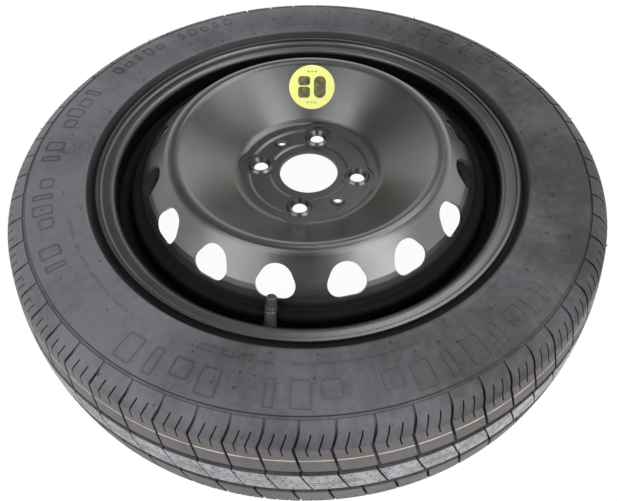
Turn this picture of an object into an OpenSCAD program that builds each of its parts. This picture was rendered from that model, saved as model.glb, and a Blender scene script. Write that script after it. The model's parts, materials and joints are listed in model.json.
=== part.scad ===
// Temporary spare wheel: a steel wheel with a dished, vented disc, its tyre and its snap-in valve.
// It lies on the tyre's inboard sidewall at z = 0, with the wheel axis along Z and the street side up.

/* [Tyre] */
// Outside diameter of the tyre
tyre_d = 581; // [574:1:596]
// Width of the tyre across its sidewalls
tyre_w = 128; // [125:1:134]
// Width of the tread between its shoulder creases
tread_w = 94.6; // [91:0.2:98]
// Radius of the tread's curve from side to side
crown_r = 240; // [200:5:400]
// Thickness of the tyre in the middle of the tread
crown_t = 10.5; // [9.5:0.5:12]
// Thickness of the tyre's sidewall at its widest
sidewall_t = 5.8; // [5:0.2:7]
// Diameter of the raised inner rib that guards the rim
guard_d = 427; // [425:1:431]
// Diameter of the double line where the shoulder meets the sidewall
shoulder_d = 539; // [536:1:542]
// Width of each wide groove round the tread
wide_groove_w = 7.8; // [6:0.2:9]
// Depth of the wide grooves
wide_groove_depth = 4.6; // [3:0.2:6]
// Distance of each wide groove from the middle of the tread
wide_groove_at = 16; // [14:0.5:18]
// Width of the thin groove round the middle of the tread
centre_groove_w = 1.2; // [0.8:0.1:2]
// Depth of the thin groove
centre_groove_depth = 3; // [2:0.2:4]
// Number of blocks along each shoulder
block_count = 64; // [48:8:72]
// Swing of the block edges from even spacing, in degrees, which varies the block length
pitch_swing = 0.65; // [0:0.05:0.8]
// Width of the grooves across the shoulders
cross_groove_w = 2.4; // [1.6:0.2:3.2]
// Depth of the grooves across the shoulders
cross_groove_depth = 4; // [2.5:0.5:5]
// Width of the slanted cuts in the two middle ribs
rib_cut_w = 1.2; // [0.8:0.1:2]
// Depth of the slanted cuts
rib_cut_depth = 3; // [2:0.2:4]
// Gap between the rubber of the beads and the rim's steel
bead_gap = 0.1; // [0.05:0.05:0.3]

/* [Rim] */
// Diameter of the rim where the tyre's beads sit
seat_d = 380.2; // [378.2:0.2:382]
// Width of the rim between its flanges
rim_w = 101.6; // [100:0.2:104]
// Thickness of the rim's steel
rim_t = 2.6; // [2.2:0.1:2.8]
// Height of the flanges above the bead seats
flange_h = 14.4; // [13.6:0.1:15]
// Distance that the lips reach outwards from the flanges
lip_reach = 7.6; // [7:0.1:9]
// Length of each bead seat
seat_w = 14.7; // [13.7:0.1:15.2]
// Height of the safety humps over the inner ends of the seats
hump_h = 1.4; // [1:0.1:1.8]
// Depth of the drop centre below the bead seats
well_depth = 12.7; // [12:0.1:13.5]
// Width of the flat bottom of the drop centre
well_w = 39.5; // [36:0.5:42]
// Slope of the drop centre's wall beside the valve, in degrees
well_slope = 25; // [23:1:27]

/* [Disc] */
// Thickness of the disc's steel
disc_t = 3.6; // [3.2:0.1:4]
// Distance of the mounting face from the middle of the rim, towards the street
inset = 36; // [34:0.5:38]
// Diameter of the centre bore
bore_d = 58.1; // [56:0.1:62]
// Height of the hub plate's outer ledge over the bolt pads
ledge_step = 1.2; // [0.9:0.1:1.6]
// Diameter of the edge of that ledge
ledge_d = 118; // [114:1:120]
// Diameter where the dish starts to rise from the ledge
dish_d = 142; // [139:1:144]
// Slope of the dish, in degrees
dish_slope = 36.5; // [36:0.1:37.5]
// Diameter of the crest where the dish turns over
crest_d = 260.6; // [258:0.2:263]
// Radius of the crest
crest_bend = 11; // [9:0.5:12]
// Slope of the outer flank that holds the vents, in degrees
flank_slope = 44.5; // [43:0.5:46]
// Diameter where the flank steepens
knee_d = 314.6; // [313:0.2:316]
// Diameter at the foot of the flank
foot_d = 329.8; // [329:0.2:331]
// Distance of the flat ring round the foot inwards from the plane of the lips
foot_drop = 15; // [14:0.5:16]
// Height of the skirt that is pressed into the rim
skirt_h = 51; // [46:0.5:54]
// Gap between the skirt and the rim
skirt_gap = 0.1; // [0.05:0.05:0.2]
// Number of vents
vent_count = 16; // [8:4:16]
// Length of a vent along the slope
vent_l = 29.5; // [26:0.5:30]
// Width of a vent round the wheel
vent_w = 34.6; // [31:0.2:36]
// Radius of a vent's two lower corners
vent_corner = 11; // [9:0.5:12]
// Diameter of the circle through the middles of the vents, on the street face
vent_pcd = 305.6; // [304:0.2:307]

/* [Bolts and pins] */
// Number of wheel bolts
bolt_count = 4; // [3:1:6]
// Diameter of the bolt circle
bolt_pcd = 98; // [96:0.5:102]
// Diameter of the bolt holes
bolt_hole_d = 14; // [12.5:0.1:14.5]
// Diameter of the raised ring round a bolt seat, at its base
seat_ring_d = 25.6; // [24:0.2:27]
// Height of the raised ring over its pad
seat_ring_h = 2.2; // [1.8:0.1:2.6]
// Diameter of the flat pad that each bolt seat stands in
bolt_pad_d = 32; // [30:0.5:34]
// Number of locating pin holes
pin_count = 2; // [1:1:2]
// Diameter of the pin holes
pin_d = 9; // [7:0.1:10]
// Diameter of the circle of the pin holes
pin_pcd = 98; // [96:0.5:102]
// Diameter of the raised ring round a pin hole
pin_ring_d = 15; // [13:0.2:16]
// Height of the raised ring round a pin hole
pin_ring_h = 1.5; // [1:0.1:2]
// Diameter of the flat clearance for the bolt spanner
spanner_d = 46; // [44:0.5:47]
// Diameter of the hub plate's inner ring, which lies on the hub
hub_ring_d = 77; // [74:0.5:78]
// Height of the hub plate's outer part over that ring
hub_ring_step = 0.9; // [0.6:0.1:1.2]
// Angle of the first bolt round the wheel, in degrees
bolt_angle = -11.25; // [-45:0.25:45]

/* [Welds] */
// Number of weld seams between the skirt and the rim
weld_count = 8; // [4:1:12]
// Length of a weld seam round the wheel, in degrees
weld_arc = 22; // [10:1:28]
// Leg of the weld seams
weld_leg = 3.4; // [2.5:0.1:3.5]

/* [Valve] */
// Angle of the valve round the wheel, in degrees
valve_angle = 258.75; // [236.25:22.5:281.25]
// Diameter of the valve hole in the rim
valve_hole_d = 11.3; // [11:0.1:11.8]
// Diameter of the rubber ring over the valve hole
valve_ring_d = 14.6; // [14:0.1:15.2]
// Diameter of the valve's rubber head inside the tyre
valve_head_d = 19; // [17.5:0.5:20]
// Height of the rubber head
valve_head_h = 6.4; // [5:0.2:8]
// Diameter of the rubber stem
valve_rubber_d = 10.6; // [10:0.1:11]
// Height of the rubber stem over the middle of the rim's steel
valve_rubber_h = 23.5; // [20:0.5:24]
// Height of the brass tube over the middle of the rim's steel
valve_tube_h = 34; // [32:0.5:36]
// Diameter of the brass tube's outer thread
valve_thread_d = 7.7; // [7.5:0.1:7.9]
// Gap between the outer thread and the cap
cap_thread_gap = 0.1; // [0.05:0.01:0.1]
// Distance that the valve core stops below the mouth of the tube
core_depth = 0.4; // [0.2:0.1:0.8]
// Diameter of the core's head
core_d = 5; // [4.8:0.1:5.2]
// Diameter of the core's pin
core_pin_d = 1.1; // [1:0.05:1.2]
// Gap between the pin and the core
core_pin_gap = 0.05; // [0.03:0.01:0.08]
// Travel of the pin when the core is opened
core_travel = 1.2; // [0.8:0.1:1.5]
// Outside diameter of the cap at its rim
cap_d = 10.4; // [10:0.1:11]
// Outside diameter of the cap at its top
cap_top_d = 9; // [8.8:0.1:9.4]
// Height of the cap
cap_h = 11; // [10.5:0.5:12]
// Thickness of the cap's top
cap_roof_t = 1.2; // [1:0.1:1.6]
// Thickness of the rubber seal in the cap
cap_seal_t = 1; // [0.8:0.1:1.4]
// Number of grip ribs round the cap
cap_ribs = 16; // [8:2:20]

/* [Label] */
// Diameter of the round label in the dish
label_d = 49; // [40:1:52]
// Thickness of the label
label_t = 0.25; // [0.1:0.05:0.4]
// Distance of the label's middle from the wheel axis
label_at = 102.8; // [98:0.2:106]
// Angle of the label round the wheel, in degrees
label_angle = 86.9; // [0:0.1:360]
// Gap under the label, which its glue fills
label_gap = 0.05; // [0.02:0.01:0.1]

/* [Hidden] */
$fn = 96;
arc_step = 12;
cut_over = 3;

steel_black = [0.035, 0.035, 0.04];
rubber_black = [0.09, 0.09, 0.09];
brass = [0.72, 0.56, 0.28];
cap_black = [0.06, 0.06, 0.06];
cream = [0.86, 0.83, 0.62];

function unit(v) = v / norm(v);
function left_of(v) = [-v[1], v[0]];
function spun(v, a) = [v[0] * cos(a) - v[1] * sin(a), v[0] * sin(a) + v[1] * cos(a)];
function turned_back(pts) = [for (i = [len(pts) - 1:-1:0]) pts[i]];
function way_in(pts, i) = unit(pts[i] - pts[max(i, 1) - 1]);
function way_out(pts, i) = unit(pts[min(i, len(pts) - 2) + 1] - pts[min(i, len(pts) - 2)]);
// Turn of a path at point i in degrees, positive to the left
function turn_at(pts, i) = i == 0 || i == len(pts) - 1 ? 0 :
    let (u = way_in(pts, i), v = way_out(pts, i))
    atan2(u[0] * v[1] - u[1] * v[0], u * v);

// Points round one corner: its own point, or an arc of radius r between the two straights
function corner(p, way, turn, r) =
    r <= 0 || turn == 0 ? [p] :
    let (
        side = sign(turn),
        start = p - way * r * tan(abs(turn) / 2),
        centre = start + left_of(way) * side * r,
        steps = ceil(abs(turn) / arc_step)
    )
    [for (k = [0:steps]) centre + spun(start - centre, turn * k / steps)];
function rounded(pts, bends) = [
    for (i = [0:len(pts) - 1])
        each corner(pts[i], i == 0 ? way_out(pts, 0) : way_in(pts, i), turn_at(pts, i), bends[i])
];
// The path moved by d to the left of its direction, with mitred corners
function shifted(pts, d) = [
    for (i = [0:len(pts) - 1])
        let (
            u = i == 0 ? way_out(pts, 0) : way_in(pts, i),
            v = i == len(pts) - 1 ? u : way_out(pts, i)
        )
        pts[i] + (left_of(u) + left_of(v)) * d / (1 + u * v)
];
// Section of a bent sheet: pts and bends are its middle line, t its thickness
function sheet_side(pts, bends, d) =
    rounded(shifted(pts, d), [for (i = [0:len(pts) - 1]) bends[i] - d * sign(turn_at(pts, i))]);
function bent_sheet(pts, bends, t) =
    concat(sheet_side(pts, bends, t / 2), turned_back(sheet_side(pts, bends, -t / 2)));

module round_body(section) {
    translate([0, 0, mid_z])
        rotate_extrude()
            polygon(section);
}

module around(count, first = 0) {
    for (i = [0:count - 1])
        rotate([0, 0, first + i * 360 / count])
            children();
}

// Heights in the sections below are measured from the middle plane of the wheel
mid_z = tyre_w / 2;

// Rim
seat_r = seat_d / 2;
rim_half = rim_w / 2;
rim_mid = rim_t / 2;
flange_at = rim_half + rim_mid;
lip_h = rim_half + lip_reach;
lip_out_r = seat_r + flange_h;
lip_r = lip_out_r - rim_mid;
seat_taper = 5;
seat_out_r = seat_r - rim_mid;
seat_in_r = seat_out_r - seat_w * tan(seat_taper);
seat_in_h = flange_at - seat_w;
hump_len = 5.5;
hump_r = seat_in_r + hump_h;
hump_at = seat_in_h - hump_len;
well_in_r = seat_r - well_depth - rim_t;
well_r = well_in_r + rim_mid;
well_top = hump_at - (hump_r - well_r) * tan(well_slope);
lip_bend = 5;
heel_bend = 5.5;
seat_bend = 8;
hump_bend = 3;
well_bend = 4;
rim_path = [
    [lip_r, lip_h],
    [lip_r, flange_at],
    [seat_out_r, flange_at],
    [seat_in_r, seat_in_h],
    [hump_r, hump_at],
    [well_r, well_top],
    [well_r, well_top - well_w],
    [hump_r, -hump_at],
    [seat_in_r, -seat_in_h],
    [seat_out_r, -flange_at],
    [lip_r, -flange_at],
    [lip_r, -lip_h]
];
rim_bends = [
    0, lip_bend, heel_bend, seat_bend, hump_bend, well_bend,
    well_bend, hump_bend, seat_bend, heel_bend, lip_bend, 0
];
rim_section = bent_sheet(rim_path, rim_bends, rim_t);

// Tyre
tyre_r = tyre_d / 2;
tread_half = tread_w / 2;
function crown(h) = tyre_r - h * h / (2 * crown_r);
crease_r = crown(tread_half);
shoulder_r = shoulder_d / 2;
shoulder_h = mid_z - 3;
shoulder_mid = [crease_r - 4.6, tread_half + 8.9];
widest_out = shoulder_r - 11.5;
widest_in = shoulder_r - 33.5;
guard_r = guard_d / 2;
bead_w = 12;
toe_h = rim_half - bead_w;
function seat_surface(h) = seat_r - (rim_half - h) * tan(seat_taper) + bead_gap;
belly_h = mid_z - sidewall_t;
cavity_r = tyre_r - crown_t;
tread_steps = 4;
tyre_outside = [
    for (i = [0:tread_steps - 1]) let (h = tread_half * i / tread_steps) [crown(h), h, 0],
    [crease_r, tread_half, 1],
    [shoulder_mid[0], shoulder_mid[1], 20],
    [shoulder_r, shoulder_h, 0],
    [widest_out, mid_z, 50],
    [widest_in, mid_z, 50],
    [guard_r + 4, mid_z - 2.6, 3],
    [guard_r + 1, mid_z - 2.1, 1],
    [guard_r - 1.4, mid_z - 3.1, 1],
    [lip_out_r + 6.2, lip_h - 0.4, 3],
    [lip_out_r + 3.2, rim_half + 1.4, 4],
    [lip_out_r - 3, rim_half - bead_gap, 3],
    [seat_surface(rim_half), rim_half - bead_gap, 4.6],
    [seat_surface(toe_h), toe_h, 0.8]
];
tyre_inside = [
    [seat_r + 7, toe_h - 1.3, 5],
    [seat_r + 17, toe_h + 5.7, 12],
    [seat_r + 27, belly_h - 5.7, 12],
    [widest_in - 3, belly_h - 0.6, 20],
    [shoulder_r - 24, belly_h, 20],
    [widest_out, belly_h - 1.4, 12],
    [shoulder_r + 0.5, belly_h - 9.7, 12],
    [cavity_r - 3.5, belly_h - 22, 12],
    [cavity_r - 0.4, wide_groove_at + 2, 0],
    [cavity_r, 0, 0]
];
half_tyre = concat(tyre_outside, tyre_inside);
half_outline = rounded([for (p = half_tyre) [p[0], p[1]]], [for (p = half_tyre) p[2]]);
far_outline = turned_back([for (p = half_outline) if (p[1] > 0) [p[0], -p[1]]]);
block_start = 217.58;
block_waves = 8;
wave_start = 194.5;
function block_angle(i) =
    let (a = i * 360 / block_count)
    block_start + a + pitch_swing * sin(block_waves * a + wave_start);
cross_slant = 10;
shoulder_slant = -12;
rib_slant = 20;
// Place round the wheel where a cross groove and its shoulder end meet, off its block's angle
crease_offset = -2.7;
rib_cut_offset = 5;
line_cut = 0.8;
line_step = 2.4;

module groove(at, w, depth) {
    translate([crown(at) - depth, at - w / 2])
        square([depth + cut_over, w]);
}

// A cut through the tread: its outline across the tread, its width and its slant from the height at
module tread_cut(outline, w, slant, at) {
    translate([0, 0, at])
        rotate([slant, 0, 0])
            translate([0, 0, -at])
                rotate([90, 0, 0])
                    linear_extrude(height = w, center = true)
                        polygon(outline);
}

module cross_groove() {
    inner_h = wide_groove_at + wide_groove_w / 2 - 1;
    translate([0, crease_offset, 0]) {
        tread_cut([
            [crown(inner_h) - cross_groove_depth, inner_h],
            [tyre_r + cut_over, inner_h],
            [tyre_r + cut_over, tread_half + 0.5],
            [crease_r - cross_groove_depth, tread_half + 0.5]
        ], cross_groove_w, cross_slant, tread_half);
        tread_cut([
            [crease_r - cross_groove_depth, tread_half - 0.5],
            [tyre_r + cut_over, tread_half - 0.5],
            [tyre_r + cut_over, mid_z + cut_over],
            [shoulder_r, mid_z + cut_over],
            [shoulder_r, shoulder_h - 0.3],
            [shoulder_mid[0] - cross_groove_depth * 0.8, shoulder_mid[1] - cross_groove_depth * 0.8]
        ], cross_groove_w, shoulder_slant, tread_half);
    }
}

module rib_cut() {
    half = wide_groove_at - wide_groove_w / 2 + 0.8;
    translate([0, rib_cut_offset, 0])
        tread_cut([
            [crown(half) - rib_cut_depth, -half],
            [tyre_r + cut_over, -half],
            [tyre_r + cut_over, half],
            [crown(half) - rib_cut_depth, half]
        ], rib_cut_w, rib_slant, 0);
}

module tyre() {
    color(rubber_black)
        translate([0, 0, mid_z])
            difference() {
                rotate_extrude()
                    difference() {
                        polygon(concat(half_outline, far_outline));
                        groove(wide_groove_at, wide_groove_w, wide_groove_depth);
                        groove(-wide_groove_at, wide_groove_w, wide_groove_depth);
                        groove(0, centre_groove_w, centre_groove_depth);
                        for (side = [-1, 1])
                            for (line = [0, 1])
                                translate([shoulder_r - line * line_step, side * (shoulder_h + line * 0.6)])
                                    circle(r = line_cut, $fn = 4);
                    }
                for (i = [0:block_count - 1]) {
                    rotate([0, 0, block_angle(i)]) {
                        cross_groove();
                        rib_cut();
                    }
                    rotate([180, 0, -block_angle(i)])
                        cross_groove();
                }
            }
}

module rim() {
    color(steel_black)
        difference() {
            round_body(rim_section);
            at_valve()
                cylinder(h = 4 * rim_t, d = valve_hole_d, center = true);
        }
}

// Disc: points of its street face, from the bore to the bottom of the skirt
bore_r = bore_d / 2;
plate_h = inset + disc_t;
pad_h = plate_h + hub_ring_step;
ledge_h = pad_h + ledge_step;
ledge_r = ledge_d / 2;
hub_ring_r = hub_ring_d / 2;
dish_r = dish_d / 2;
crest_r = crest_d / 2;
crest_h = ledge_h + (crest_r - dish_r) * tan(dish_slope);
knee_r = knee_d / 2;
knee_h = crest_h - (knee_r - crest_r) * tan(flank_slope);
foot_r = foot_d / 2;
foot_h = lip_h - foot_drop;
skirt_r = well_in_r - skirt_gap;
skirt_end = foot_h - skirt_h;
disc_half = disc_t / 2;
step_run = 1.2;
disc_face = [
    [bore_r, plate_h],
    [hub_ring_r - step_run, plate_h],
    [hub_ring_r + step_run, pad_h],
    [ledge_r - step_run, pad_h],
    [ledge_r + step_run, ledge_h],
    [dish_r, ledge_h],
    [crest_r, crest_h],
    [knee_r, knee_h],
    [foot_r, foot_h],
    [skirt_r, foot_h],
    [skirt_r, skirt_end]
];
step_bend = 2.5;
dish_bend = 14;
knee_bend = 30;
foot_bend = 5;
skirt_bend = 5.5;
disc_bends = [
    0, step_bend, step_bend, step_bend, step_bend, dish_bend + disc_half, crest_bend - disc_half,
    knee_bend - disc_half, foot_bend + disc_half, skirt_bend - disc_half, 0
];
disc_section = bent_sheet(shifted(disc_face, -disc_half), disc_bends, disc_t);

bolt_r = bolt_pcd / 2;
bolt_cone = 60;
bolt_cone_d = 19;
bolt_cone_h = (bolt_cone_d - bolt_hole_d) / 2 / tan(bolt_cone / 2);
seat_ring_top_d = bolt_cone_d + 2;
ring_root = 0.2;
relief_w = 2.2;
relief_depth = 1;
pin_angle = bolt_angle + 1.5 * 360 / bolt_count;

module at_bolts(h) {
    around(bolt_count, bolt_angle)
        translate([bolt_r, 0, mid_z + h])
            children();
}

module at_pins(h) {
    for (i = [0:pin_count - 1])
        rotate([0, 0, pin_angle + i * 2 * 360 / bolt_count])
            translate([pin_pcd / 2, 0, mid_z + h])
                children();
}

// Vent: a round top whose sides spread to two smaller lower corners, x down the flank
vent_r = vent_pcd / 2;
vent_h = crest_h - (vent_r - crest_r) * tan(flank_slope);
vent_top = vent_l / 2;
vent_low = [vent_l / 2 - vent_corner, vent_w / 2 - vent_corner];
vent_edge = atan2(vent_low[1], vent_low[0]) + acos((vent_top - vent_corner) / norm(vent_low));
function arc_points(centre, r, from, to) =
    let (steps = ceil((to - from) / arc_step))
    [for (k = [0:steps]) centre + r * [cos(from + (to - from) * k / steps), sin(from + (to - from) * k / steps)]];
vent_outline = concat(
    arc_points([vent_low[0], vent_low[1]], vent_corner, 0, vent_edge),
    arc_points([0, 0], vent_top, vent_edge, 360 - vent_edge),
    arc_points([vent_low[0], -vent_low[1]], vent_corner, -vent_edge, 0)
);
vent_reach = 12;

module vent() {
    translate([vent_r, 0, mid_z + vent_h])
        rotate([0, flank_slope, 0])
            linear_extrude(height = 2 * vent_reach, center = true)
                polygon(vent_outline);
}

module disc() {
    color(steel_black)
        difference() {
            union() {
                difference() {
                    round_body(disc_section);
                    at_bolts(pad_h)
                        cylinder(h = cut_over, d = bolt_pad_d);
                    at_bolts(ledge_h)
                        cylinder(h = cut_over, d = spanner_d);
                }
                at_bolts(pad_h - disc_t)
                    cylinder(h = disc_t, d = bolt_pad_d);
                at_bolts(pad_h - ring_root)
                    cylinder(h = ring_root + seat_ring_h, d1 = seat_ring_d, d2 = seat_ring_top_d);
                at_pins(pad_h - ring_root)
                    cylinder(h = ring_root + pin_ring_h, d1 = pin_ring_d, d2 = pin_ring_d - pin_ring_h);
            }
            at_bolts(pad_h + seat_ring_h - bolt_cone_h)
                cylinder(h = bolt_cone_h, d1 = bolt_hole_d, d2 = bolt_cone_d);
            at_bolts(inset - cut_over)
                cylinder(h = disc_t + 2 * cut_over, d = bolt_hole_d);
            at_bolts(pad_h - disc_t)
                difference() {
                    cylinder(h = relief_depth, d1 = seat_ring_d, d2 = seat_ring_top_d + 1);
                    cylinder(h = relief_depth, d = seat_ring_top_d + 1 - 2 * relief_w);
                }
            at_pins(inset - cut_over)
                cylinder(h = disc_t + 3 * cut_over, d = pin_d);
            around(vent_count, bolt_angle)
                vent();
            at_valve()
                cylinder(h = valve_tube_h, d = valve_rubber_d + 2 * valve_notch_gap);
        }
}

module weld_seams() {
    section = [[skirt_r, skirt_end], [skirt_r, skirt_end - weld_leg], [skirt_r - weld_leg, skirt_end]];
    color(steel_black)
        translate([0, 0, mid_z])
            around(weld_count, bolt_angle)
                rotate_extrude(angle = weld_arc)
                    polygon(section);
}

// Valve: heights are measured along its axis from the middle of the rim's steel
valve_notch_gap = 2.1;
valve_at = [(hump_r + well_r) / 2, (hump_at + well_top) / 2];
hole_r = valve_hole_d / 2;
plug_gap = 0.02;
thread_r = valve_thread_d / 2;
tube_in_rubber_r = 3.2;
tube_bottom = -rim_mid - valve_head_h + 2;
rubber_r = valve_rubber_d / 2;
head_r = valve_head_d / 2;
head_top_r = head_r - 1.5;
head_end = -rim_mid - valve_head_h;
ring_r = valve_ring_d / 2;
ring_h = rim_mid + 2.4;
neck_h = rim_mid + 8;
core_top = valve_tube_h - core_depth;
core_r = core_d / 2;
core_gap = 0.03;
core_head_h = 6.5;
core_step = core_top - core_head_h;
core_seal_h = 1.9;
core_tail_r = 1.45;
core_tail_h = 7;
core_tail_end = core_step - core_tail_h;
core_seat_h = 1.8;
air_r = 1.9;
core_chamber_r = 1.75;
core_tail_bore_r = 0.95;
bridge_h = 2.4;
bridge_w = 2.2;
pin_r = core_pin_d / 2;
collar_h = 0.3;
collar_r = 1.4;
collar_gap = 0.1;
collar_top = core_top - bridge_h - collar_gap;
cup_seal_t = 0.8;
cup_seal_gap = 0.02;
cup_wall = 0.25;
cup_floor = 0.6;
cup_seal_top = core_tail_end - cup_seal_gap;
cup_end = cup_seal_top - cup_seal_t - cup_floor;
spring_wire = 0.25;
spring_turns = 5;
spring_r = 1.2;
spring_low = core_step + 0.4;
spring_high = collar_top - collar_h - spring_wire / 2;
cap_seal_low = valve_tube_h + 0.02;
cap_roof = cap_seal_low + cap_seal_t;
cap_top = cap_roof + cap_roof_t;
cap_low = cap_top - cap_h;
cap_bore_r = thread_r + cap_thread_gap;
cap_rim_h = 1.6;
cap_rib = 0.5;

module at_valve() {
    rotate([0, 0, valve_angle])
        translate([valve_at[0], 0, mid_z + valve_at[1]])
            rotate([0, -well_slope, 0])
                children();
}

// The rubber is pressed against the steel round the hole and takes its shape
module valve_rubber() {
    near = 8;
    color(rubber_black)
        difference() {
            at_valve()
                rotate_extrude($fn = 48)
                    polygon([
                        [tube_in_rubber_r, head_end],
                        [head_r - 1, head_end],
                        [head_r, head_end + 1.2],
                        [head_r, head_end + 2.8],
                        [head_top_r, -rim_mid],
                        [hole_r - plug_gap, -rim_mid],
                        [hole_r - plug_gap, 0],
                        [ring_r, 0],
                        [ring_r, ring_h - 0.9],
                        [ring_r - 0.8, ring_h],
                        [rubber_r + 0.3, neck_h],
                        [rubber_r, neck_h + 4],
                        [rubber_r - 0.3, valve_rubber_h - 1],
                        [rubber_r - 1.1, valve_rubber_h],
                        [thread_r, valve_rubber_h],
                        [thread_r, valve_rubber_h - 4],
                        [tube_in_rubber_r, valve_rubber_h - 5]
                    ]);
            difference() {
                translate([0, 0, mid_z])
                    rotate([0, 0, valve_angle - near])
                        rotate_extrude(angle = 2 * near)
                            polygon(rim_section);
                at_valve()
                    cylinder(h = 4 * rim_t, d = valve_hole_d, center = true);
            }
        }
}

module valve_tube() {
    color(brass)
        at_valve()
            rotate_extrude($fn = 48)
                polygon([
                    [air_r, tube_bottom],
                    [tube_in_rubber_r, tube_bottom],
                    [tube_in_rubber_r, valve_rubber_h - 5],
                    [thread_r, valve_rubber_h - 4],
                    [thread_r, valve_tube_h - 0.5],
                    [thread_r - 0.5, valve_tube_h],
                    [core_r + core_gap + 0.3, valve_tube_h],
                    [core_r + core_gap, valve_tube_h - 0.3],
                    [core_r + core_gap, core_step - 0.5],
                    [air_r, core_step - 0.5 - core_seat_h]
                ]);
}

module core_barrel() {
    color(brass)
        at_valve()
            difference() {
                rotate_extrude($fn = 48)
                    polygon([
                        [pin_r + core_pin_gap, core_top],
                        [core_r, core_top],
                        [core_r, core_step],
                        [core_tail_r, core_step],
                        [core_tail_r, core_tail_end],
                        [core_tail_bore_r, core_tail_end],
                        [core_tail_bore_r, core_step + 0.3],
                        [core_chamber_r, core_step + 0.3],
                        [core_chamber_r, core_top - bridge_h],
                        [pin_r + core_pin_gap, core_top - bridge_h]
                    ]);
                for (side = [-1, 1])
                    translate([0, side * (bridge_w / 2 + core_r), core_top])
                        cube([2 * core_d, 2 * core_r, 2 * bridge_h + 0.4], center = true);
            }
}

module core_seal() {
    color("white")
        at_valve()
            rotate_extrude($fn = 48)
                polygon([
                    [core_tail_r + 0.02, core_step],
                    [core_r - 0.1, core_step],
                    [core_r - 0.1, core_step - 0.4],
                    [air_r - 0.02, core_step - core_seal_h],
                    [core_tail_r + 0.02, core_step - core_seal_h]
                ]);
}

module core_pin() {
    color(brass)
        at_valve()
            rotate_extrude($fn = 32)
                polygon([
                    [0, cup_end],
                    [pin_r, cup_end],
                    [pin_r, collar_top - collar_h],
                    [collar_r, collar_top - collar_h],
                    [collar_r, collar_top],
                    [pin_r, collar_top],
                    [pin_r, valve_tube_h - core_depth / 2],
                    [0, valve_tube_h - core_depth / 2]
                ]);
}

module core_cup() {
    color(brass)
        at_valve()
            rotate_extrude($fn = 32)
                polygon([
                    [pin_r, cup_end],
                    [core_tail_r + cup_wall, cup_end],
                    [core_tail_r + cup_wall, cup_seal_top - 0.2],
                    [core_tail_r, cup_seal_top - 0.2],
                    [core_tail_r, cup_end + cup_floor],
                    [pin_r, cup_end + cup_floor]
                ]);
}

module core_cup_seal() {
    color("darkred")
        at_valve()
            rotate_extrude($fn = 32)
                polygon([
                    [pin_r, cup_seal_top - cup_seal_t],
                    [core_tail_r, cup_seal_top - cup_seal_t],
                    [core_tail_r, cup_seal_top],
                    [pin_r, cup_seal_top]
                ]);
}

// Spring wire: a ring of points every twentieth of a turn along its helix
wire_sides = 6;
turn_steps = 20;
spring_steps = spring_turns * turn_steps;
function spring_point(i) =
    let (a = i * 360 / turn_steps)
    [spring_r * cos(a), spring_r * sin(a), spring_low + spring_wire / 2
        + (spring_high - spring_low - spring_wire / 2) * i / spring_steps];
function wire_ring(i) =
    let (a = i * 360 / turn_steps)
    [
        for (k = [0:wire_sides - 1])
            let (b = k * 360 / wire_sides)
            spring_point(i) + spring_wire / 2 * [cos(b) * cos(a), cos(b) * sin(a), sin(b)]
    ];

module core_spring() {
    rings = [for (i = [0:spring_steps]) each wire_ring(i)];
    walls = [
        for (i = [0:spring_steps - 1])
            for (k = [0:wire_sides - 1])
                let (
                    here = i * wire_sides,
                    next = here + wire_sides,
                    step = (k + 1) % wire_sides
                )
                [here + k, next + k, next + step, here + step]
    ];
    start = [for (k = [0:wire_sides - 1]) k];
    finish = [for (k = [wire_sides - 1:-1:0]) spring_steps * wire_sides + k];
    color("silver")
        at_valve()
            polyhedron(points = rings, faces = concat(walls, [start, finish]));
}

module valve_cap() {
    cap_r = cap_d / 2;
    cap_top_r = cap_top_d / 2;
    color(cap_black)
        at_valve() {
            rotate_extrude($fn = 64)
                polygon([
                    [cap_bore_r, cap_low],
                    [cap_r, cap_low],
                    [cap_r, cap_low + cap_rim_h],
                    [cap_top_r, cap_low + cap_rim_h + 0.4],
                    [cap_top_r, cap_top - 0.7],
                    [cap_top_r - 0.7, cap_top],
                    [0, cap_top],
                    [0, cap_roof],
                    [cap_bore_r, cap_roof]
                ]);
            around(cap_ribs)
                translate([cap_top_r - 0.3, -cap_rib / 2, cap_low + cap_rim_h])
                    cube([0.3 + cap_rib / 2, cap_rib, cap_h - cap_rim_h - 1.5]);
        }
}

module cap_seal() {
    color(rubber_black)
        at_valve()
            translate([0, 0, cap_seal_low])
                cylinder(h = cap_seal_t, r = cap_bore_r - 0.05, $fn = 48);
}

// Label: a round sheet bent to the dish, glued on its street face
label_turn = 20;
label_low = label_at - label_d / 2;
label_high = label_at + label_d / 2;
function dish_face(r) = [r, ledge_h + (r - dish_r) * tan(dish_slope)];
dish_normal = [-sin(dish_slope), cos(dish_slope)];

module label() {
    color(cream)
        rotate([0, 0, label_angle])
            translate([0, 0, mid_z])
                intersection() {
                    rotate([0, 0, -label_turn])
                        rotate_extrude(angle = 2 * label_turn)
                            polygon([
                                dish_face(label_low) + dish_normal * label_gap,
                                dish_face(label_high) + dish_normal * label_gap,
                                dish_face(label_high) + dish_normal * (label_gap + label_t),
                                dish_face(label_low) + dish_normal * (label_gap + label_t)
                            ]);
                    translate([label_at, 0, dish_face(label_at)[1]])
                        rotate([0, -dish_slope, 0])
                            cylinder(h = label_d, d = label_d, center = true);
                }
}

tyre();
rim();
disc();
weld_seams();
valve_rubber();
valve_tube();
core_barrel();
core_seal();
core_pin();
core_cup();
core_cup_seal();
core_spring();
valve_cap();
cap_seal();
label();
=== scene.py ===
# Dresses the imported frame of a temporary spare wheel: its finishes, its moulded tyre, its studio.
import json
import math
import random

import bmesh
import bpy
from mathutils import Matrix, Vector


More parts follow.
